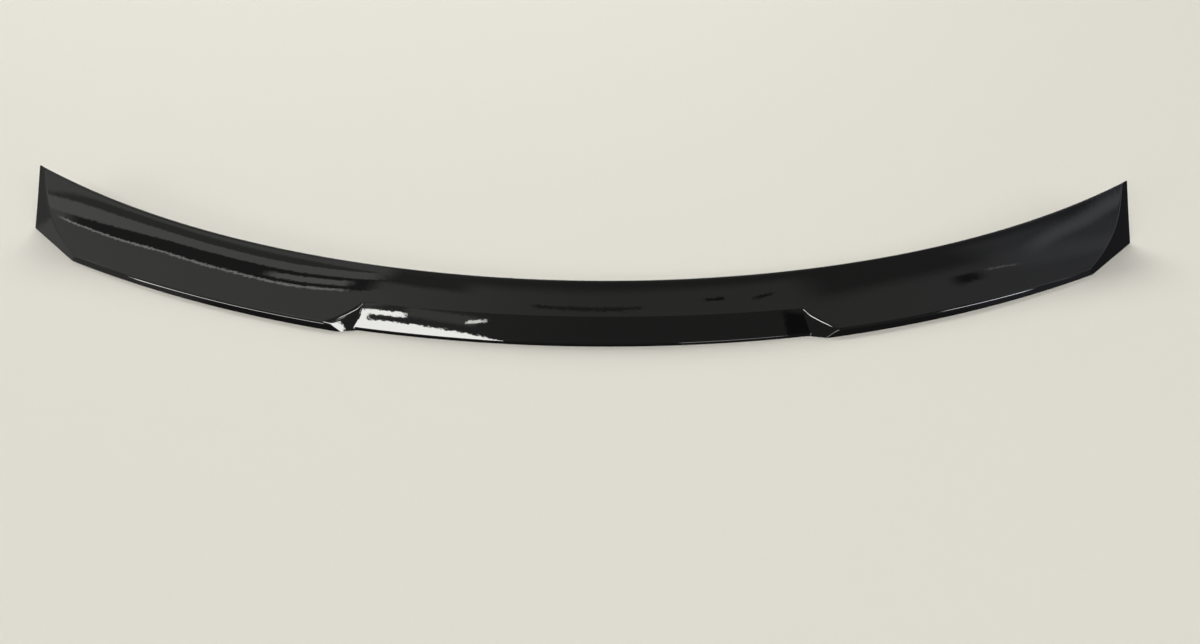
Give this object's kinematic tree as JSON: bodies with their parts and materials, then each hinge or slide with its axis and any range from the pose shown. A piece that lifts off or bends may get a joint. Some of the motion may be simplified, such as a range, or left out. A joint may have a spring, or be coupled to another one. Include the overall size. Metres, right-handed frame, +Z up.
{
  "type": "car rear spoiler",
  "caption": "Slim bowed boot-lid spoiler: leaning front lip, recessed middle face, concave top rising to a thin raised edge, slanted end facets, and a cored underside with flat lands.",
  "frame": {"origin": "middle of the front tape land, on the mid-plane of the spoiler, in the base plane", "axes": "+X along the span, +Y from the front lip towards the raised edge, +Z up from the base plane"},
  "size_m": [1.252, 0.2056, 0.0505],
  "materials": {
    "gloss_black": "polished gloss black"
  },
  "bodies": {
    "root": {"spoiler_body": "gloss_black"}
  },
  "joints": []
}
